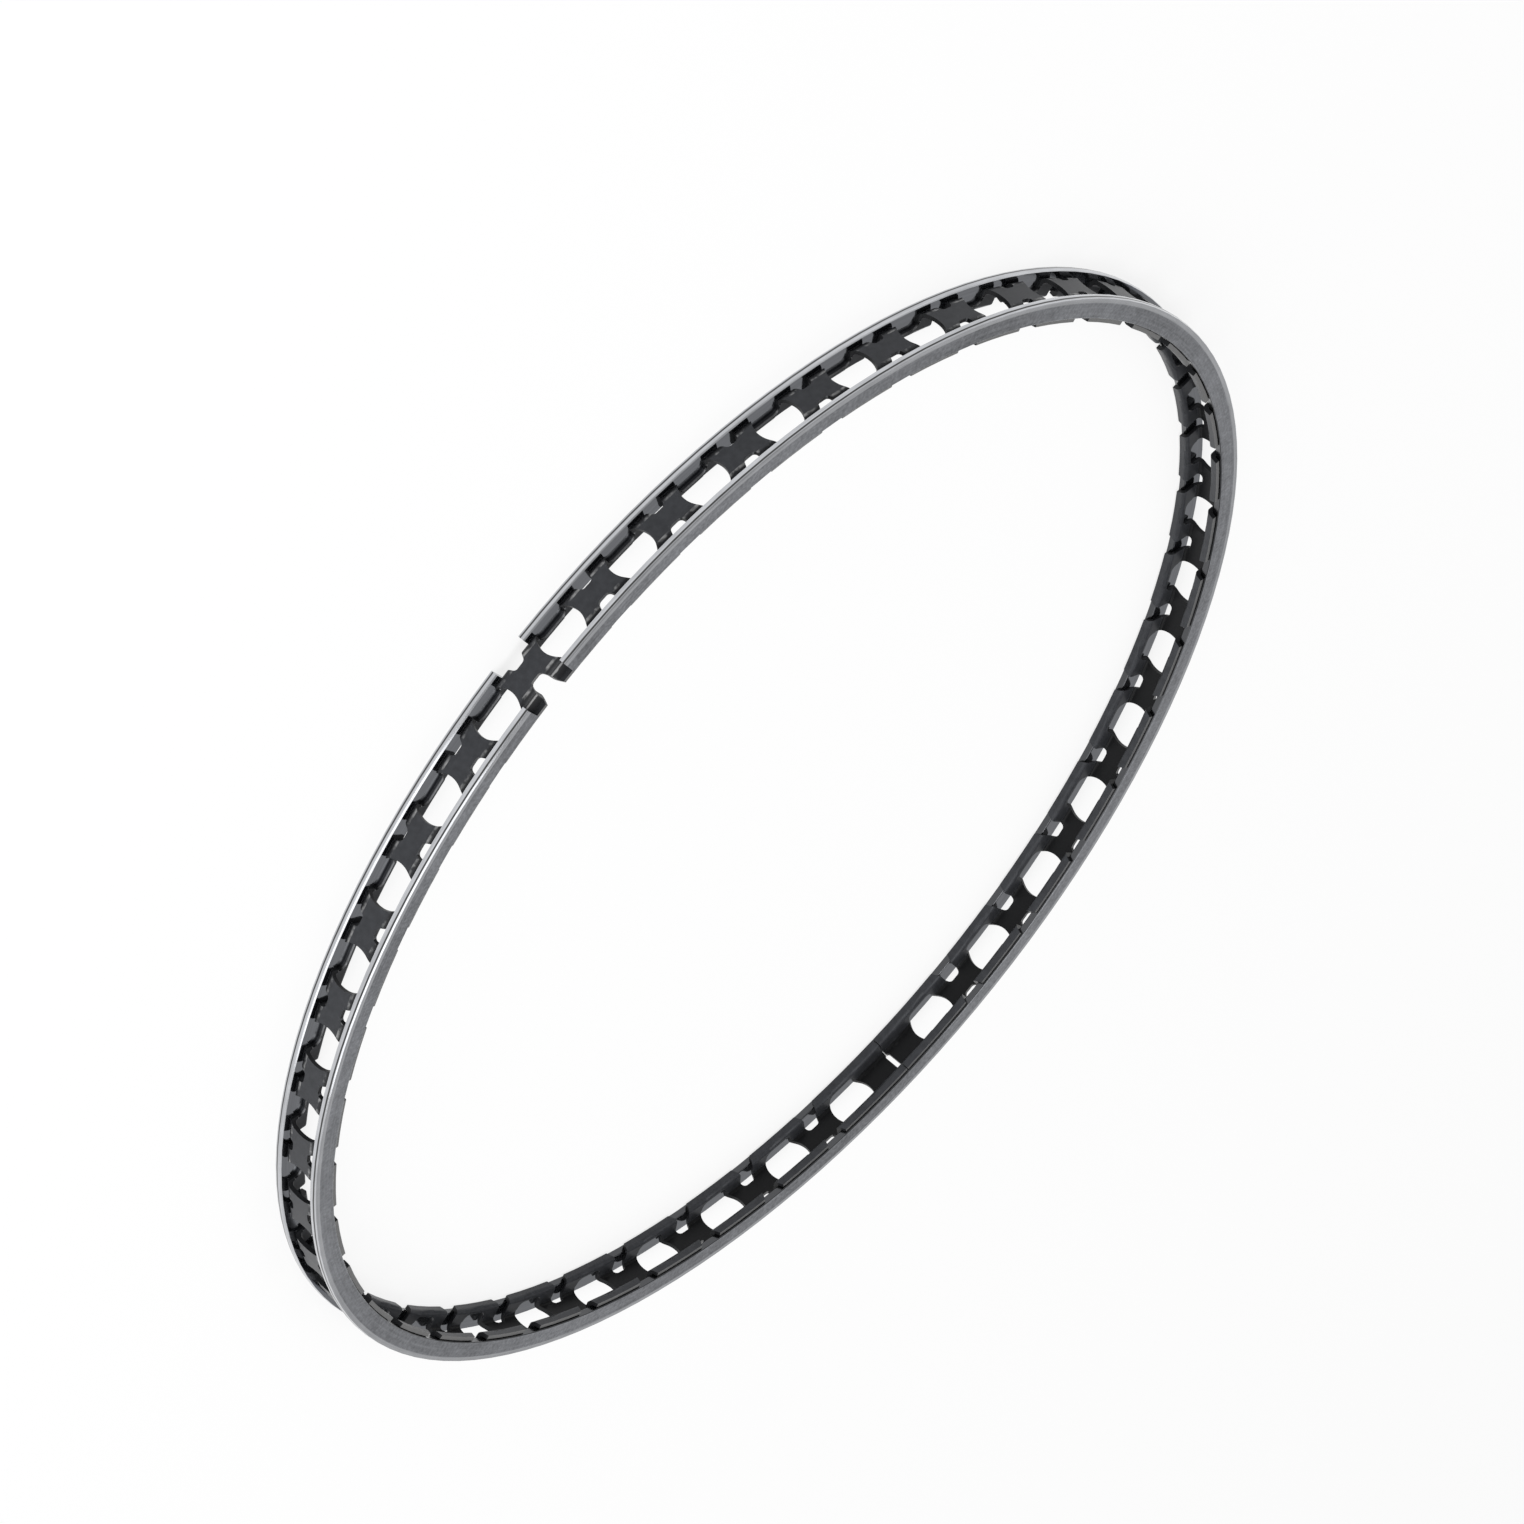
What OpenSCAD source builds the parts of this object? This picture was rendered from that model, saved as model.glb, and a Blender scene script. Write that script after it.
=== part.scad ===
// Three-piece oil control piston ring: two steel rails seated on a formed strip expander.
// The ring lies flat. Its axis is +Z, its underside is at z = 0 and the rail gaps face -Y.

/* [Ring] */
// Outside diameter of the rails
outside_d = 80; // [70:1:100]
// Height over both rails
ring_h = 3.5; // [3.3:0.1:4]

/* [Rails] */
// Thickness of a rail along the axis
rail_t = 0.5; // [0.45:0.05:0.55]
// Radial width of a rail
rail_w = 1.5; // [1.4:0.05:1.8]
// How far the middle of the running face stands out from its two edges
rail_crown = 0.06; // [0.03:0.01:0.1]
// Radius on the two inner edges of a rail
rail_edge_r = 0.08; // [0.04:0.01:0.15]
// Open gap between the ends of the upper rail
upper_gap = 3.4; // [1:0.1:4]
// Open gap between the ends of the lower rail
lower_gap = 2.5; // [1:0.1:4]

/* [Expander strip] */
// Thickness of the strip
strip_t = 0.28; // [0.24:0.01:0.32]
// How far the outer plates sit inside the running faces
web_setback = 0.3; // [0.2:0.05:0.4]
// Outside radius of the bend from an outer plate into a leg
web_bend_r = 0.5; // [0.4:0.05:0.55]
// Height of an ear above the seat of its rail
ear_h = 0.34; // [0.2:0.02:0.42]
// Play between an ear and the inside of its rail
ear_play = 0.05; // [0.02:0.01:0.1]

/* [Expander pattern] */
// Number of whole outer plates round the ring
plate_count = 40; // [36:1:42]
// Angle from the butted joint to the middle of the first plate
joint_pitch = 10; // [9.5:0.1:10.5]
// Place of the joint among the plates, counted from the plate in the rail gaps
joint_after = 18; // [0:1:39]
// Width of a window at the middle of the plates
window_w = 3.2; // [3:0.1:3.4]
// Width of a window between the legs
window_leg_w = 2.2; // [2:0.1:2.4]
// Radius in the corners of a window beside the ears
window_corner_r = 0.5; // [0.35:0.05:0.55]
// Height of a plate between its two notches
plate_waist = 1.24; // [1:0.02:1.4]
// Width of a notch at its bottom
notch_w = 1; // [0.8:0.05:1.1]
// Radius in the corners of a notch
notch_corner_r = 0.28; // [0.15:0.01:0.35]
// Angle at which the sides of a notch flare to the ears
notch_flare = 24; // [15:1:30]
// Clear slot between the ends of the strip at the joint
joint_slot_w = 0.34; // [0.2:0.02:0.5]
// Height of that slot
joint_slot_h = 1.4; // [1:0.1:1.5]
// Hairline between the butted ears and legs at the joint
joint_line = 0.06; // [0.04:0.01:0.1]

/* [Hidden] */
$fn = 96;

outer_r = outside_d / 2;
rail_in_r = outer_r - rail_w;
mid_z = ring_h / 2;
// Height of a rail seat above the middle plane
seat_h = mid_z - rail_t;
web_r = outer_r - web_setback;
ear_r = rail_in_r - ear_play;
// The sides of a window run straight over the last part of their height up to the seat
window_straight = 0.1;
// Strip left in front of the ears at the end of a window
window_land = 0.1;
window_in_r = ear_r + window_land;
// The corners of a window meet its sides this far outside them, which leaves a crisp edge
corner_ease = 0.03;
// Angle from plate to plate
pitch = (360 - 2 * joint_pitch) / (plate_count - 1);
// The plate that stands in the rail gaps faces -Y
gap_angle = 270;
joint_angle = gap_angle + joint_after * pitch + joint_pitch;
// Extra length that carries a cut clear of the surface
past = 1;

// Section of a rail in the plane of radius and height, with its underside at zero
module rail_section() {
    crown_r = (pow(rail_t / 2, 2) + pow(rail_crown, 2)) / (2 * rail_crown);
    translate([rail_in_r + rail_edge_r, 0]) square([rail_w - rail_edge_r - rail_crown, rail_t]);
    translate([rail_in_r, rail_edge_r]) square([rail_edge_r * 2, rail_t - 2 * rail_edge_r]);
    for (corner_z = [rail_edge_r, rail_t - rail_edge_r])
        translate([rail_in_r + rail_edge_r, corner_z]) circle(rail_edge_r);
    intersection() {
        translate([outer_r - crown_r, rail_t / 2]) circle(crown_r);
        translate([outer_r - crown_r, 0]) square([crown_r, rail_t]);
    }
}

// One rail: a split ring with square ends
module rail(gap) {
    gap_turn = 2 * asin(gap / 2 / outer_r);
    rotate([0, 0, gap_angle + gap_turn / 2]) rotate_extrude(angle = 360 - gap_turn) rail_section();
}

// A quarter of a disc or of a bent strip, about its own centre of bend
module bend_section(outside_r, inside_r) {
    intersection() {
        difference() {
            circle(outside_r);
            if (inside_r > 0) circle(inside_r);
        }
        square(outside_r);
    }
}

// Upper half of the strip's section above the middle plane: plate, leg and ear
module half_strip_section() {
    translate([web_r - strip_t, 0]) square([strip_t, seat_h - web_bend_r]);
    translate([web_r - web_bend_r, seat_h - web_bend_r]) bend_section(web_bend_r, web_bend_r - strip_t);
    translate([ear_r, seat_h - strip_t]) square([web_r - web_bend_r - ear_r, strip_t]);
    translate([ear_r, seat_h]) rotate(180) bend_section(strip_t, 0);
    translate([ear_r - strip_t, seat_h]) square([strip_t, ear_h]);
}

module strip_section() {
    half_strip_section();
    mirror([0, 1]) half_strip_section();
}

// Outline of a window seen from outside: bowed beside the plates, straight between the legs
module window_outline() {
    bow = (window_w - window_leg_w) / 2;
    bow_h = seat_h - window_straight;
    bow_r = (pow(bow_h, 2) + pow(bow, 2)) / (2 * bow);
    bow_x = bow_r - window_w / 2;
    square([window_leg_w, 2 * (mid_z + past)], center = true);
    intersection() {
        translate([bow_x, 0]) circle(bow_r);
        translate([-bow_x, 0]) circle(bow_r);
        square([window_w, 2 * bow_h], center = true);
    }
}

// Outline of a window seen along the axis: rounded corners beside the ears, opening out to the plates
module window_plan() {
    half_w = window_leg_w / 2 + corner_ease;
    corner_y = half_w - window_corner_r;
    corner_x = window_in_r + window_corner_r;
    open_w = window_w + 2 * past;
    open_x = corner_x + (open_w / 2 - half_w) / 2;
    translate([window_in_r, -corner_y]) square([past, 2 * corner_y]);
    for (side = [-1, 1])
        translate([corner_x, side * corner_y]) circle(window_corner_r);
    polygon([
        [corner_x, -half_w], [open_x, -open_w / 2], [outer_r + past, -open_w / 2],
        [outer_r + past, open_w / 2], [open_x, open_w / 2], [corner_x, half_w]
    ]);
}

// Outline of the upper notch of a plate seen from outside: a flat bottom, round corners and flared sides
module notch_outline() {
    bottom_z = plate_waist / 2;
    corner_x = notch_w / 2 - notch_corner_r;
    corner_z = bottom_z + notch_corner_r;
    touch_x = corner_x + notch_corner_r * cos(notch_flare);
    touch_z = corner_z - notch_corner_r * sin(notch_flare);
    top_z = mid_z + past;
    top_x = touch_x + (top_z - touch_z) * tan(notch_flare);
    for (side = [-1, 1])
        translate([side * corner_x, corner_z]) circle(notch_corner_r);
    polygon([
        [-corner_x, bottom_z], [corner_x, bottom_z], [corner_x, corner_z], [touch_x, touch_z],
        [top_x, top_z], [-top_x, top_z], [-touch_x, touch_z], [-corner_x, corner_z]
    ]);
}

// Carries an outline outwards along +X from the given radius
module cut_outwards(from_r) {
    translate([from_r, 0, 0]) rotate([90, 0, 90]) linear_extrude(outer_r + past - from_r) children();
}

// Carries an outline along the axis, through the whole height
module cut_upwards() {
    translate([0, 0, -mid_z - past]) linear_extrude(ring_h + 2 * past) children();
}

module window_cut() {
    intersection() {
        cut_outwards(rail_in_r - past) window_outline();
        cut_upwards() window_plan();
    }
}

module notch_cut() {
    cut_outwards(rail_in_r - past) {
        notch_outline();
        mirror([0, 1]) notch_outline();
    }
}

// The slot and the hairline between the two ends of the strip
module joint_outline() {
    square([joint_line, ring_h + 2 * past], center = true);
    square([joint_slot_w, joint_slot_h - joint_slot_w], center = true);
    for (side = [-1, 1])
        translate([0, side * (joint_slot_h - joint_slot_w) / 2]) circle(joint_slot_w / 2);
}

// Everything that is cut from the bent strip
module strip_cuts() {
    for (k = [-0.5 : 1 : plate_count - 0.5])
        rotate([0, 0, joint_pitch + k * pitch]) window_cut();
    for (k = [0 : plate_count - 1])
        rotate([0, 0, joint_pitch + k * pitch]) notch_cut();
    cut_outwards(rail_in_r - past) joint_outline();
}

module upper_rail() {
    color("#a9adb3") translate([0, 0, ring_h - rail_t]) rail(upper_gap);
}

module lower_rail() {
    color("#a9adb3") rail(lower_gap);
}

module expander() {
    color("#3d3e42") translate([0, 0, mid_z]) rotate([0, 0, joint_angle]) difference() {
        rotate_extrude() strip_section();
        strip_cuts();
    }
}

upper_rail();
lower_rail();
expander();
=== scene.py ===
"""Looks of an oil control piston ring: two polished steel rails seated on a dark formed expander."""

import math

import bpy
from mathutils import Matrix, Vector


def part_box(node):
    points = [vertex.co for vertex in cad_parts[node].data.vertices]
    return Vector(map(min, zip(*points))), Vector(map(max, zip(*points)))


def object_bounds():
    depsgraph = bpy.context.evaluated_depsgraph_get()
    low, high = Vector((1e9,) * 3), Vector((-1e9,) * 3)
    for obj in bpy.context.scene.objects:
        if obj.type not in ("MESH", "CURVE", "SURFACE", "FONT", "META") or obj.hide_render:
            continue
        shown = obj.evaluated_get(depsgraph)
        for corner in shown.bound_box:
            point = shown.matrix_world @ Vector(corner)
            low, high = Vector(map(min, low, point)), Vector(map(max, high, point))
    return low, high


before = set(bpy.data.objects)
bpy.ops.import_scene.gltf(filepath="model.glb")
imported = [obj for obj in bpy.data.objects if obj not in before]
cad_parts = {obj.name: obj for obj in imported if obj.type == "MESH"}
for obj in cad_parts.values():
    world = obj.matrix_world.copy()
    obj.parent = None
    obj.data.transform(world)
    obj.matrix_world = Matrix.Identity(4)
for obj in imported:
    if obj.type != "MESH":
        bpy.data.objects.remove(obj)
cad_low, cad_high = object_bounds()

MM = 0.001

# Sizes read from the frame
OUTER_RADIUS = cad_high.x
MID_HEIGHT = (cad_low.z + cad_high.z) / 2
RAIL_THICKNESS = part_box("lower_rail")[1].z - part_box("lower_rail")[0].z

# Depths on the ring, measured inwards from its outside
# Where the polish of a running face ends
RUNNING_FACE_DEPTH = 0.175 * MM
# Where the rubbed band on a side face ends: a lighter band, partly a painted highlight of the rounded outer
# edge
RUBBED_HIGHLIT_BAND_DEPTH = 0.36 * MM
# Just behind the plates, and where the space close behind them ends
PLATE_DEPTH = 0.62 * MM
PLATE_SPACE_DEPTH = 0.92 * MM
# Just in front of the ears
EAR_DEPTH = 1.52 * MM

# Heights on the ring, measured up or down from the middle of its height
RAIL_MID = cad_high.z - RAIL_THICKNESS / 2 - MID_HEIGHT
# The dark line round a running face, which is nearer to the edge away from the expander
DARK_LINE_MID = RAIL_MID + 0.085 * MM
# Where the bare bottom of a notch and the bare end of a window stop
NOTCH_TOP = 0.775 * MM
WINDOW_END_TOP = 1.08 * MM
EAR_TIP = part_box("expander")[1].z - MID_HEIGHT

# Half the width of the dark line round a running face
DARK_LINE_HALF = 0.055 * MM
# Half the width of a sharp change from one finish to another
EDGE_BLUR = 0.02 * MM
# Depth of the relief in both metals
BUMP_DISTANCE = 0.01 * MM
# Share of a grey's lean to blue that its green takes
GREEN_SHARE = 0.28

# Camera, as the photograph sees the ring, with its angles in degrees
PICTURE_PIXELS = 1524
FOCAL_PIXELS = 8122
SENSOR_MM = 36
CAMERA_ELEVATION = 24.77
CAMERA_TURN = -2.6
CAMERA_ROLL = 129.11
CAMERA_DISTANCE = 0.5009
CAMERA_CLIP = 0.01
# Where the middle of the ring stands in the picture, to the right of and above its centre
RING_RIGHT = 0.6 * MM
RING_ABOVE = -3.92 * MM

# Floor and surroundings
FLOOR_HALF = 2.0
FLOOR_GREY = 0.9
# Share of plain white in the floor as it is seen, which leaves a faint shadow
FLOOR_WHITE = 0.8
DIM_SKY = 0.4
PALE_SKY = 0.75


def add_node(tree, kind, **settings):
    """Adds a shader node with its settings."""
    node = tree.nodes.new(kind)
    for name, value in settings.items():
        setattr(node, name, value)
    return node


def feed(tree, socket, value):
    """Links a socket to another, or sets its value."""
    if isinstance(value, bpy.types.NodeSocket):
        tree.links.new(value, socket)
    else:
        socket.default_value = value


def calc(tree, operation, *values):
    """A Math node."""
    node = add_node(tree, "ShaderNodeMath", operation=operation)
    for socket, value in zip(node.inputs, values):
        feed(tree, socket, value)
    return node.outputs[0]


def rise(tree, value, low, high):
    """Goes smoothly from 0 at low to 1 at high, or down from 1 where low is the larger."""
    node = add_node(tree, "ShaderNodeMapRange", interpolation_type="SMOOTHSTEP")
    feed(tree, node.inputs["Value"], value)
    node.inputs["From Min"].default_value = min(low, high)
    node.inputs["From Max"].default_value = max(low, high)
    node.inputs["To Min"].default_value = 0.0 if low < high else 1.0
    node.inputs["To Max"].default_value = 1.0 if low < high else 0.0
    return node.outputs[0]


def above(tree, value, limit, blur):
    """The share that is above a limit, with a soft edge that reaches blur to either side."""
    return rise(tree, value, limit - blur, limit + blur)


def below(tree, value, limit, blur):
    """The share that is below a limit, with a soft edge that reaches blur to either side."""
    return rise(tree, value, limit + blur, limit - blur)


def span(tree, value, low, high):
    """Carries a value from 0 to 1 onto the span from low to high."""
    node = add_node(tree, "ShaderNodeMapRange")
    feed(tree, node.inputs["Value"], value)
    node.inputs["To Min"].default_value = low
    node.inputs["To Max"].default_value = high
    return node.outputs[0]


def both(tree, *shares):
    """The product of several shares."""
    result = shares[0]
    for share in shares[1:]:
        result = calc(tree, "MULTIPLY", result, share)
    return result


def either(tree, *shares):
    """The largest of several shares."""
    result = shares[0]
    for share in shares[1:]:
        result = calc(tree, "MAXIMUM", result, share)
    return result


def mix(tree, share, first, second, kind="RGBA"):
    """Mixes two colours, or two numbers where kind is FLOAT, by a share."""
    node = add_node(tree, "ShaderNodeMix", data_type=kind)
    sockets = [s for s in node.inputs if s.enabled]
    feed(tree, sockets[0], share)
    feed(tree, sockets[1], first)
    feed(tree, sockets[2], second)
    return next(s for s in node.outputs if s.enabled)


def tone(tree, *noises):
    """Several noises as one, about their common middle: each is given with its weight."""
    middle = 0.5
    result = middle
    for noise, weight in noises:
        from_middle = calc(tree, "SUBTRACT", noise, middle)
        result = calc(tree, "MULTIPLY_ADD", from_middle, weight, result)
    return result


def grey(level, blue=1.0):
    """A grey that leans to blue, with a little of that lean in its green."""
    green = 1 + GREEN_SHARE * (blue - 1)
    return (level, level * green, level * blue, 1.0)


class Surface:
    """A new metal material, with the places and directions on the ring that its nodes work from."""

    def __init__(self, name):
        self.material = bpy.data.materials.new(name)
        self.material.use_nodes = True
        self.tree = self.material.node_tree
        self.shader = self.tree.nodes["Principled BSDF"]
        self.shader.inputs["Metallic"].default_value = 1.0
        self.find_place()
        self.find_direction()

    def find_place(self):
        """Where a point is: its turn round the ring, its depth and its height."""
        tree = self.tree
        place = add_node(tree, "ShaderNodeTexCoord").outputs["Object"]
        self.x, self.y, self.z = self.parts(place)
        y_squared = calc(tree, "MULTIPLY", self.y, self.y)
        self.radius = calc(tree, "SQRT", calc(tree, "MULTIPLY_ADD", self.x, self.x, y_squared))
        self.turn = calc(tree, "ARCTAN2", self.y, self.x)
        self.depth = calc(tree, "SUBTRACT", OUTER_RADIUS, self.radius)
        self.above_mid = calc(tree, "SUBTRACT", self.z, MID_HEIGHT)
        self.from_mid = calc(tree, "ABSOLUTE", self.above_mid)

    def find_direction(self):
        """Which way a face looks: outwards, along the ring, up or down, and away from the middle height."""
        tree = self.tree
        normal = add_node(tree, "ShaderNodeNewGeometry").outputs["Normal"]
        normal_x, normal_y, normal_z = self.parts(normal)
        outwards = calc(tree, "MULTIPLY_ADD", self.x, normal_x, calc(tree, "MULTIPLY", self.y, normal_y))
        self.faces_out = calc(tree, "DIVIDE", outwards, self.radius)
        forwards = calc(tree, "MULTIPLY", self.x, normal_y)
        backwards = calc(tree, "MULTIPLY", self.y, normal_x)
        along = calc(tree, "SUBTRACT", forwards, backwards)
        self.faces_along = calc(tree, "ABSOLUTE", calc(tree, "DIVIDE", along, self.radius))
        self.faces_up = calc(tree, "ABSOLUTE", normal_z)
        # Above zero where a face looks away from the middle of the ring's height
        self.faces_away = calc(tree, "MULTIPLY", self.above_mid, normal_z)

    def parts(self, vector):
        """The three parts of a vector."""
        node = add_node(self.tree, "ShaderNodeSeparateXYZ")
        self.tree.links.new(vector, node.inputs[0])
        return node.outputs

    def noise(self, across, along, detail=3.0):
        """Noise in the ring's own directions: so many waves per metre across, and per radian along."""
        joined = add_node(self.tree, "ShaderNodeCombineXYZ")
        feed(self.tree, joined.inputs[0], calc(self.tree, "MULTIPLY", self.radius, across))
        feed(self.tree, joined.inputs[1], calc(self.tree, "MULTIPLY", self.turn, along))
        feed(self.tree, joined.inputs[2], calc(self.tree, "MULTIPLY", self.z, across))
        texture = add_node(self.tree, "ShaderNodeTexNoise")
        self.tree.links.new(joined.outputs[0], texture.inputs["Vector"])
        texture.inputs["Scale"].default_value = 1.0
        texture.inputs["Detail"].default_value = detail
        return texture.outputs["Fac"]

    def finish(self, colour, roughness, height, strength):
        """Connects the colour, the roughness and the bump."""
        feed(self.tree, self.shader.inputs["Base Color"], colour)
        feed(self.tree, self.shader.inputs["Roughness"], roughness)
        bump = add_node(self.tree, "ShaderNodeBump")
        bump.inputs["Strength"].default_value = strength
        bump.inputs["Distance"].default_value = BUMP_DISTANCE
        feed(self.tree, bump.inputs["Height"], height)
        self.tree.links.new(bump.outputs[0], self.shader.inputs["Normal"])
        return self.material


def rail_steel():
    """Ground side faces with a rubbed band, lighter partly as a painted highlight, and lapped seats, a
    polished running face and dark inner edges.
    """
    steel = Surface("rail_steel")
    tree = steel.tree
    lines = steel.noise(across=9000, along=5)
    patches = steel.noise(across=900, along=30)
    speckle = steel.noise(across=4000, along=160, detail=5.0)
    sweep = steel.noise(across=60, along=3, detail=1.0)

    on_running_face = below(tree, steel.depth, RUNNING_FACE_DEPTH, blur=0.025 * MM)
    # A darker line painted round the running face
    off_dark_line = calc(tree, "ABSOLUTE", calc(tree, "SUBTRACT", steel.from_mid, DARK_LINE_MID))
    on_dark_line = both(tree, on_running_face, below(tree, off_dark_line, DARK_LINE_HALF, EDGE_BLUR))
    on_side = rise(tree, steel.faces_up, 0.75, 0.9)
    # Rubbed outer band of the side faces, painted lighter also as the highlight of the rounded outer edge
    on_rubbed_highlit_band = both(tree, on_side, below(tree, steel.depth, RUBBED_HIGHLIT_BAND_DEPTH, blur=0.05 * MM))
    on_seat = both(tree, on_side, below(tree, steel.faces_away, 0.0, blur=0.1 * MM))
    on_end = rise(tree, steel.faces_along, 0.7, 0.9)

    ground_tone = tone(tree, (lines, 0.4), (speckle, 0.8), (patches, 0.4), (sweep, 0.5))
    ground = mix(tree, ground_tone, grey(0.1, blue=1.1), grey(0.64, blue=1.1))
    lapped = mix(tree, lines, grey(0.24, blue=1.12), grey(0.38, blue=1.12))
    polished_tone = tone(tree, (lines, 0.9), (patches, 0.5))
    polished = mix(tree, polished_tone, grey(0.35, blue=1.06), grey(0.74, blue=1.06))
    # Rubbed grey for that band, partly a painted highlight
    rubbed_and_highlit = mix(tree, polished_tone, grey(0.5, blue=1.06), grey(0.9, blue=1.06))
    inner_edge = grey(0.09, blue=1.08)
    cut_end = grey(0.3, blue=1.08)
    dark_line_grey = grey(0.07)
    colour = mix(tree, on_running_face, inner_edge, polished)
    colour = mix(tree, on_side, colour, ground)
    colour = mix(tree, on_rubbed_highlit_band, colour, rubbed_and_highlit)
    colour = mix(tree, on_seat, colour, lapped)
    colour = mix(tree, on_end, colour, cut_end)
    colour = mix(tree, on_dark_line, colour, dark_line_grey)

    edge_roughness = span(tree, patches, 0.14, 0.22)
    side_roughness = span(tree, lines, 0.16, 0.28)
    seat_roughness = span(tree, lines, 0.08, 0.14)
    roughness = mix(tree, on_side, edge_roughness, side_roughness, "FLOAT")
    roughness = mix(tree, on_seat, roughness, seat_roughness, "FLOAT")
    return steel.finish(colour, roughness, height=lines, strength=0.2)


def sheared_faces(steel):
    """The share of bare metal: at the ends of windows, the bottoms of notches and the tips of ears."""
    tree = steel.tree
    behind_plates = above(tree, steel.depth, PLATE_DEPTH, EDGE_BLUR)
    before_ears = below(tree, steel.depth, EAR_DEPTH, EDGE_BLUR)
    upright = rise(tree, steel.faces_up, 0.5, 0.3)
    not_sideways = rise(tree, steel.faces_along, 0.95, 0.7)
    near_mid = below(tree, steel.from_mid, WINDOW_END_TOP, blur=0.06 * MM)
    at_window_end = both(tree, behind_plates, before_ears, upright, not_sideways, near_mid)

    level = rise(tree, steel.faces_up, 0.7, 0.85)
    in_plate = below(tree, steel.depth, PLATE_DEPTH - EDGE_BLUR, EDGE_BLUR)
    at_notch = both(tree, level, in_plate, below(tree, steel.from_mid, NOTCH_TOP, blur=0.025 * MM))
    at_tip = both(tree, level, above(tree, steel.from_mid, EAR_TIP - EDGE_BLUR, EDGE_BLUR / 2))
    return either(tree, at_window_end, at_notch, at_tip)


def bend_parts(steel):
    """The bend of a plate into its leg, painted in shade, then the foot of the bend and its crest under the
    rail, painted lighter as scuffs and a rubbed line that are also painted highlights.
    """
    tree = steel.tree
    outside = above(tree, steel.faces_away, 0.0, blur=0.1 * MM)
    # Painted shade on the bend, where it turns up towards the leg
    on_bend_shade = both(tree, outside, rise(tree, steel.faces_up, 0.12, 0.4))
    # The foot of the bend carries scuffs that also paint the highlight where the bend starts
    foot_start = rise(tree, steel.faces_up, 0.01, 0.08)
    foot_end = rise(tree, steel.faces_up, 0.45, 0.2)
    at_foot = both(tree, outside, foot_start, foot_end)
    # The crest carries a rubbed line that is also a painted highlight along it
    crest_start = rise(tree, steel.faces_up, 0.86, 0.93)
    crest_end = rise(tree, steel.faces_up, 0.995, 0.97)
    at_crest = both(tree, outside, crest_start, crest_end)
    return on_bend_shade, at_foot, at_crest


def expander_steel():
    """Dark spring steel with painted shade on its bends and inside the plates, darker cut edges, scuffs and a
    rubbed crest that are also painted highlights, and bare where it was sheared.
    """
    steel = Surface("expander_steel")
    tree = steel.tree
    mottle = steel.noise(across=2500, along=90)
    grain = steel.noise(across=14000, along=500)
    # Spots for scuffs, partly painted highlight
    scuff_and_glint_spots = rise(tree, steel.noise(across=1800, along=70, detail=5.0), 0.42, 0.68)

    bare = sheared_faces(steel)
    on_bend_shade, at_foot, at_crest = bend_parts(steel)
    on_long_edge = rise(tree, steel.faces_along, 0.6, 0.8)
    near_plates = below(tree, steel.depth, PLATE_SPACE_DEPTH, blur=0.1 * MM)
    # Painted shade on the inner faces of the plates, which face into the ring
    shaded_inside_plate = both(tree, near_plates, rise(tree, steel.faces_out, -0.4, -0.7))

    dark = mix(tree, mottle, grey(0.027, blue=1.16), grey(0.056, blue=1.16))
    # Painted shade inside the plates
    plate_inside_shade = grey(0.012, blue=1.1)
    # Painted shade on the bends
    bend_shade = grey(0.026, blue=1.1)
    # Scuffs, partly a painted highlight where the bend starts
    scuffed_and_highlit = grey(0.28)
    rubbed_and_highlit = grey(0.3)
    long_edge = grey(0.014, blue=1.15)
    sheared = mix(tree, grain, grey(0.24), grey(0.48))
    colour = mix(tree, shaded_inside_plate, dark, plate_inside_shade)
    colour = mix(tree, on_bend_shade, colour, bend_shade)
    colour = mix(tree, both(tree, at_foot, scuff_and_glint_spots), colour, scuffed_and_highlit)
    # Rubbed crest, partly a painted highlight
    colour = mix(tree, at_crest, colour, rubbed_and_highlit)
    colour = mix(tree, on_long_edge, colour, long_edge)
    colour = mix(tree, bare, colour, sheared)

    dark_roughness = span(tree, mottle, 0.3, 0.42)
    bare_roughness = span(tree, grain, 0.36, 0.5)
    roughness = mix(tree, bare, dark_roughness, bare_roughness, "FLOAT")
    feed(tree, steel.shader.inputs["Metallic"], span(tree, bare, 0.15, 1.0))
    steel.shader.inputs["Specular Tint"].default_value = grey(0.4)
    steel.shader.inputs["Specular IOR Level"].default_value = 0.3
    return steel.finish(colour, roughness, height=grain, strength=0.25)


def paint(material, *nodes):
    """Gives CAD nodes their material."""
    for node in nodes:
        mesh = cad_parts[node].data
        mesh.materials.clear()
        mesh.materials.append(material)


def add_camera():
    """The photograph's camera: it looks down on the ring and is rolled about its own axis."""
    elevation = math.radians(CAMERA_ELEVATION)
    roll = math.radians(CAMERA_ROLL)
    turn = Matrix.Rotation(math.radians(CAMERA_TURN), 3, "Z")
    level_right = turn @ Vector((1, 0, 0))
    forward = turn @ Vector((0, math.cos(elevation), -math.sin(elevation)))
    level_up = level_right.cross(forward)
    right = math.cos(roll) * level_right + math.sin(roll) * level_up
    up = math.cos(roll) * level_up - math.sin(roll) * level_right
    aim = Vector((0, 0, MID_HEIGHT)) - RING_RIGHT * right - RING_ABOVE * up

    data = bpy.data.cameras.new("camera")
    data.sensor_width = SENSOR_MM
    data.lens = FOCAL_PIXELS / PICTURE_PIXELS * SENSOR_MM
    data.clip_start = CAMERA_CLIP
    camera = bpy.data.objects.new("camera", data)
    bpy.context.scene.collection.objects.link(camera)
    axes = Matrix((right, up, -forward)).transposed()
    camera.matrix_world = Matrix.Translation(aim - CAMERA_DISTANCE * forward) @ axes.to_4x4()
    bpy.context.scene.camera = camera


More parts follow.
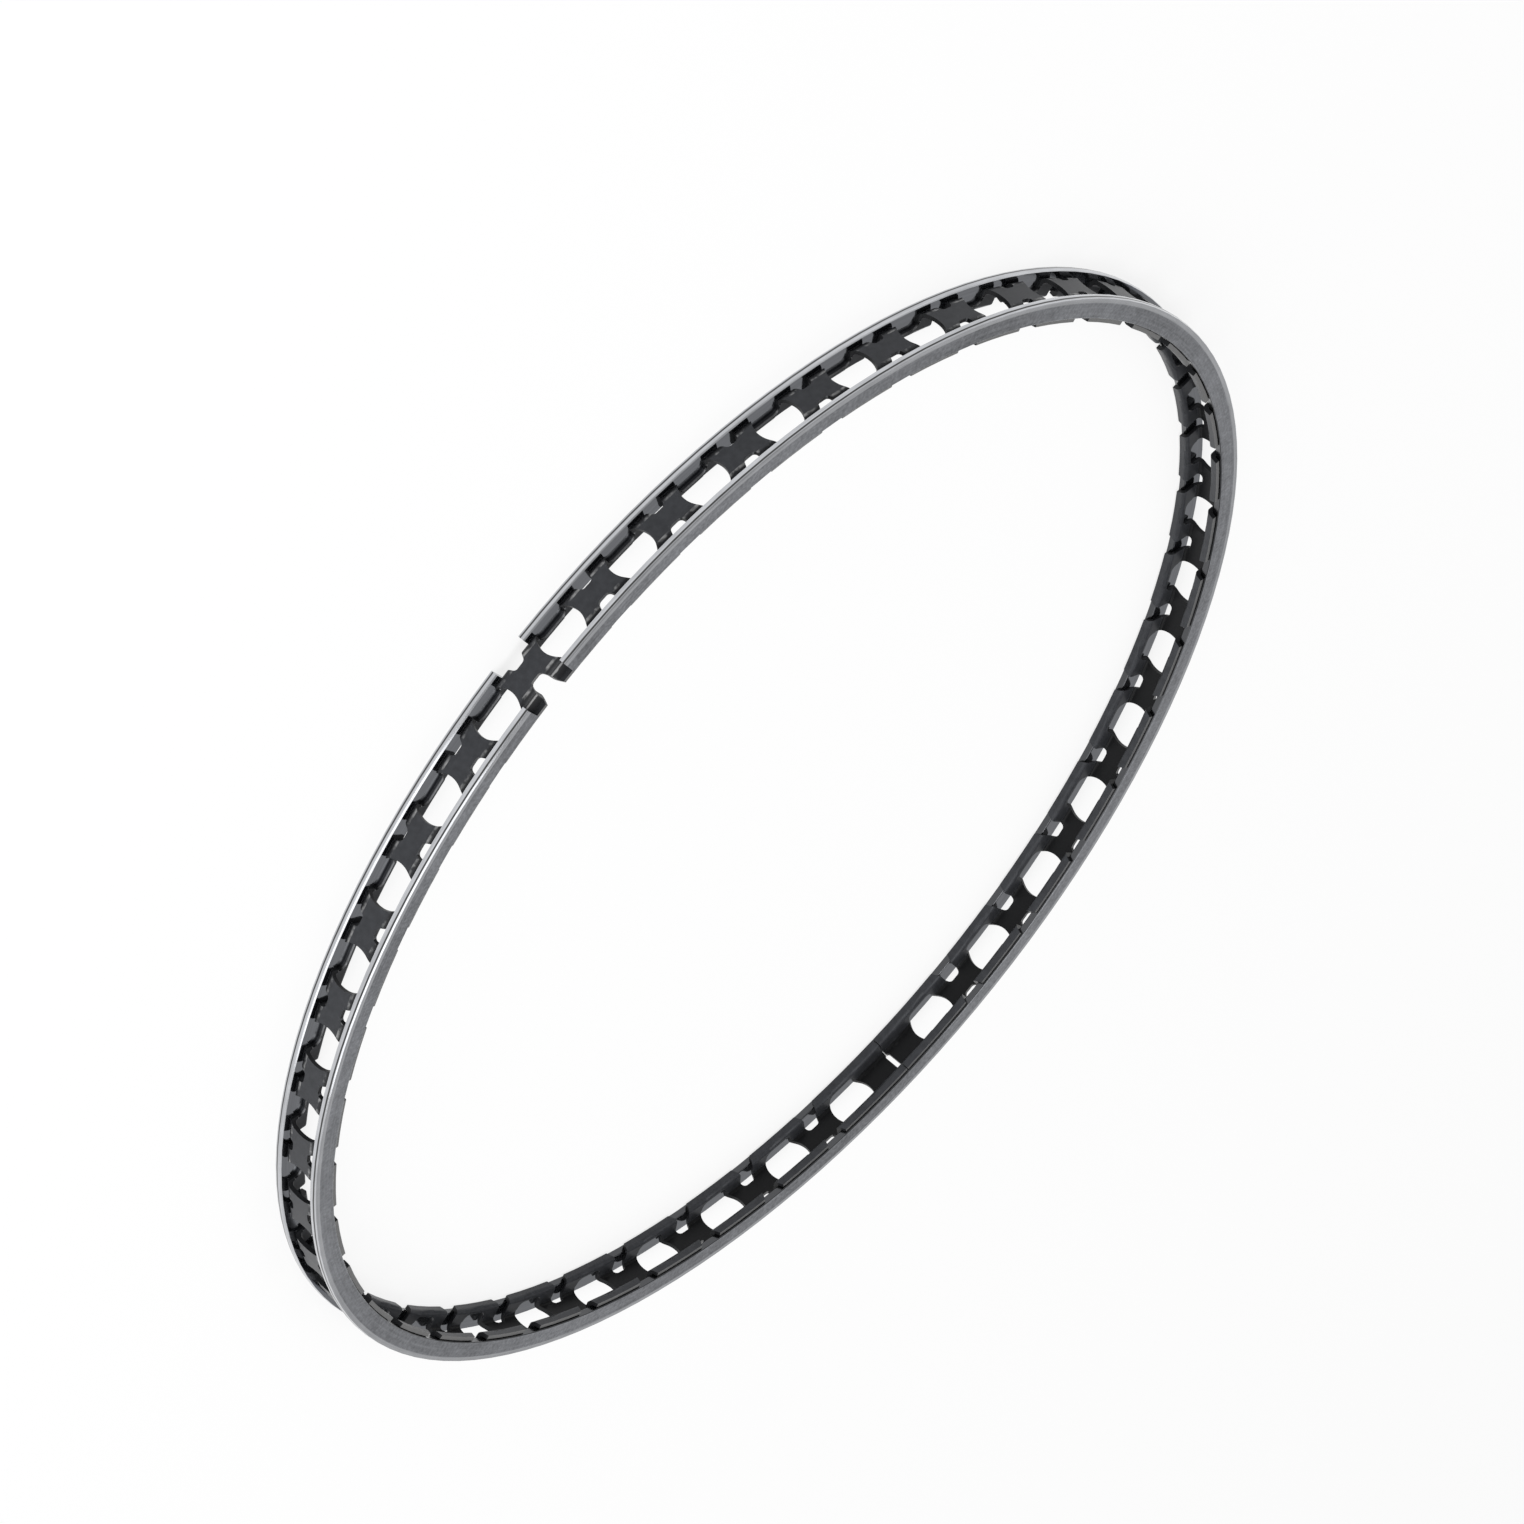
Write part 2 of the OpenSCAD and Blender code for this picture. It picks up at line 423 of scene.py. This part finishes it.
def floor_material():
    """White as seen and as mirrored, with a faint shadow."""
    material = bpy.data.materials.new("floor_white")
    material.use_nodes = True
    tree = material.node_tree
    tree.nodes.clear()
    path = add_node(tree, "ShaderNodeLightPath")
    seen = either(tree, path.outputs["Is Camera Ray"], path.outputs["Is Glossy Ray"],
                  path.outputs["Is Transmission Ray"])
    matt = add_node(tree, "ShaderNodeBsdfDiffuse")
    matt.inputs["Color"].default_value = grey(FLOOR_GREY)
    white = add_node(tree, "ShaderNodeEmission")
    mixed = add_node(tree, "ShaderNodeMixShader")
    feed(tree, mixed.inputs[0], calc(tree, "MULTIPLY", seen, FLOOR_WHITE))
    feed(tree, mixed.inputs[1], matt.outputs[0])
    feed(tree, mixed.inputs[2], white.outputs[0])
    output = add_node(tree, "ShaderNodeOutputMaterial")
    feed(tree, output.inputs["Surface"], mixed.outputs[0])
    return material


def add_floor():
    """A plain floor that fills the view."""
    half = FLOOR_HALF
    corners = [(-half, -half), (half, -half), (half, half), (-half, half)]
    mesh = bpy.data.meshes.new("floor")
    mesh.from_pydata([(x, y, cad_low.z) for x, y in corners], [], [(0, 1, 2, 3)])
    mesh.materials.append(floor_material())
    floor = bpy.data.objects.new("floor", mesh)
    bpy.context.scene.collection.objects.link(floor)


def add_world():
    """Soft light all round: pale at the horizon, dim above it and pale again overhead."""
    world = bpy.data.worlds.new("studio")
    bpy.context.scene.world = world
    world.use_nodes = True
    tree = world.node_tree
    place = add_node(tree, "ShaderNodeTexCoord")
    parts = add_node(tree, "ShaderNodeSeparateXYZ")
    tree.links.new(place.outputs["Generated"], parts.inputs[0])
    # Height in the sky: 0 at the horizon and 1 overhead
    height = parts.outputs[2]
    at_horizon = rise(tree, height, 0.28, 0.05)
    overhead = rise(tree, height, 0.4, 0.9)
    pale = either(tree, at_horizon, overhead)
    background = tree.nodes["Background"]
    background.inputs["Color"].default_value = grey(1.0)
    feed(tree, background.inputs["Strength"], span(tree, pale, DIM_SKY, PALE_SKY))


def add_lamp(name, place, size, power):
    """A square soft lamp that faces the ring."""
    data = bpy.data.lights.new(name, "AREA")
    data.size = size
    data.energy = power
    lamp = bpy.data.objects.new(name, data)
    lamp.location = place
    lamp.rotation_mode = "QUATERNION"
    lamp.rotation_quaternion = (-Vector(place)).to_track_quat("-Z", "Y")
    bpy.context.scene.collection.objects.link(lamp)


def add_lights():
    """A soft lamp beside the ring and one above it, on the camera's side."""
    add_lamp("side_lamp", place=(0.48, -0.38, 0.18), size=0.8, power=3.0)
    add_lamp("top_lamp", place=(0.05, -0.25, 0.55), size=0.3, power=1.3)


bpy.context.scene.view_settings.view_transform = "Standard"
paint(rail_steel(), "upper_rail", "lower_rail")
paint(expander_steel(), "expander")
add_camera()
add_floor()
add_world()
add_lights()
